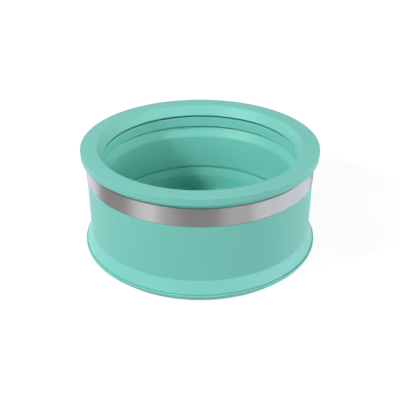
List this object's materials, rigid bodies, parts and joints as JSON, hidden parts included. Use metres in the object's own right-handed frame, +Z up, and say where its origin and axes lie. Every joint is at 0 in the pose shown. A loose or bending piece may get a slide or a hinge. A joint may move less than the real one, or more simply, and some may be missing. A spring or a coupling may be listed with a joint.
{
  "type": "collapsible cup",
  "caption": "Collapsible travel cup: telescoping rings with a flared skirt, a steel band and a rounded rim, stored collapsed and pulled up to full height.",
  "frame": {"origin": "centre of the underside, on the surface that the cup stands on", "axes": "+Z up along the cup's own axis and its telescoping slides; X and Y are free, the cup is round"},
  "size_m": [0.097, 0.0971, 0.0445],
  "materials": {
    "plastic": "mint green moulded polypropylene, fine matt",
    "band": "stainless strip, brushed along its length",
    "seal": "pale moulded silicone"
  },
  "bodies": {
    "base_stage": {"foot": "plastic", "bottom_cup": "plastic", "bottom_gasket": "seal", "inner_ring": "plastic", "inner_seal": "seal"},
    "middle_stage": {"middle_ring": "plastic", "middle_seal": "seal", "middle_retainer": "plastic"},
    "rim_stage": {"outer_sleeve": "plastic", "sleeve_retainer": "plastic", "steel_band": "band", "rim_ring": "plastic"}
  },
  "joints": [
    {"name": "middle_lift", "type": "slide", "parent": "base_stage", "child": "middle_stage", "axis": [0, 0, 1], "range_m": [0, 0.0213]},
    {"name": "rim_lift", "type": "slide", "parent": "middle_stage", "child": "rim_stage", "axis": [0, 0, 1], "range_m": [0, 0.0271]}
  ]
}
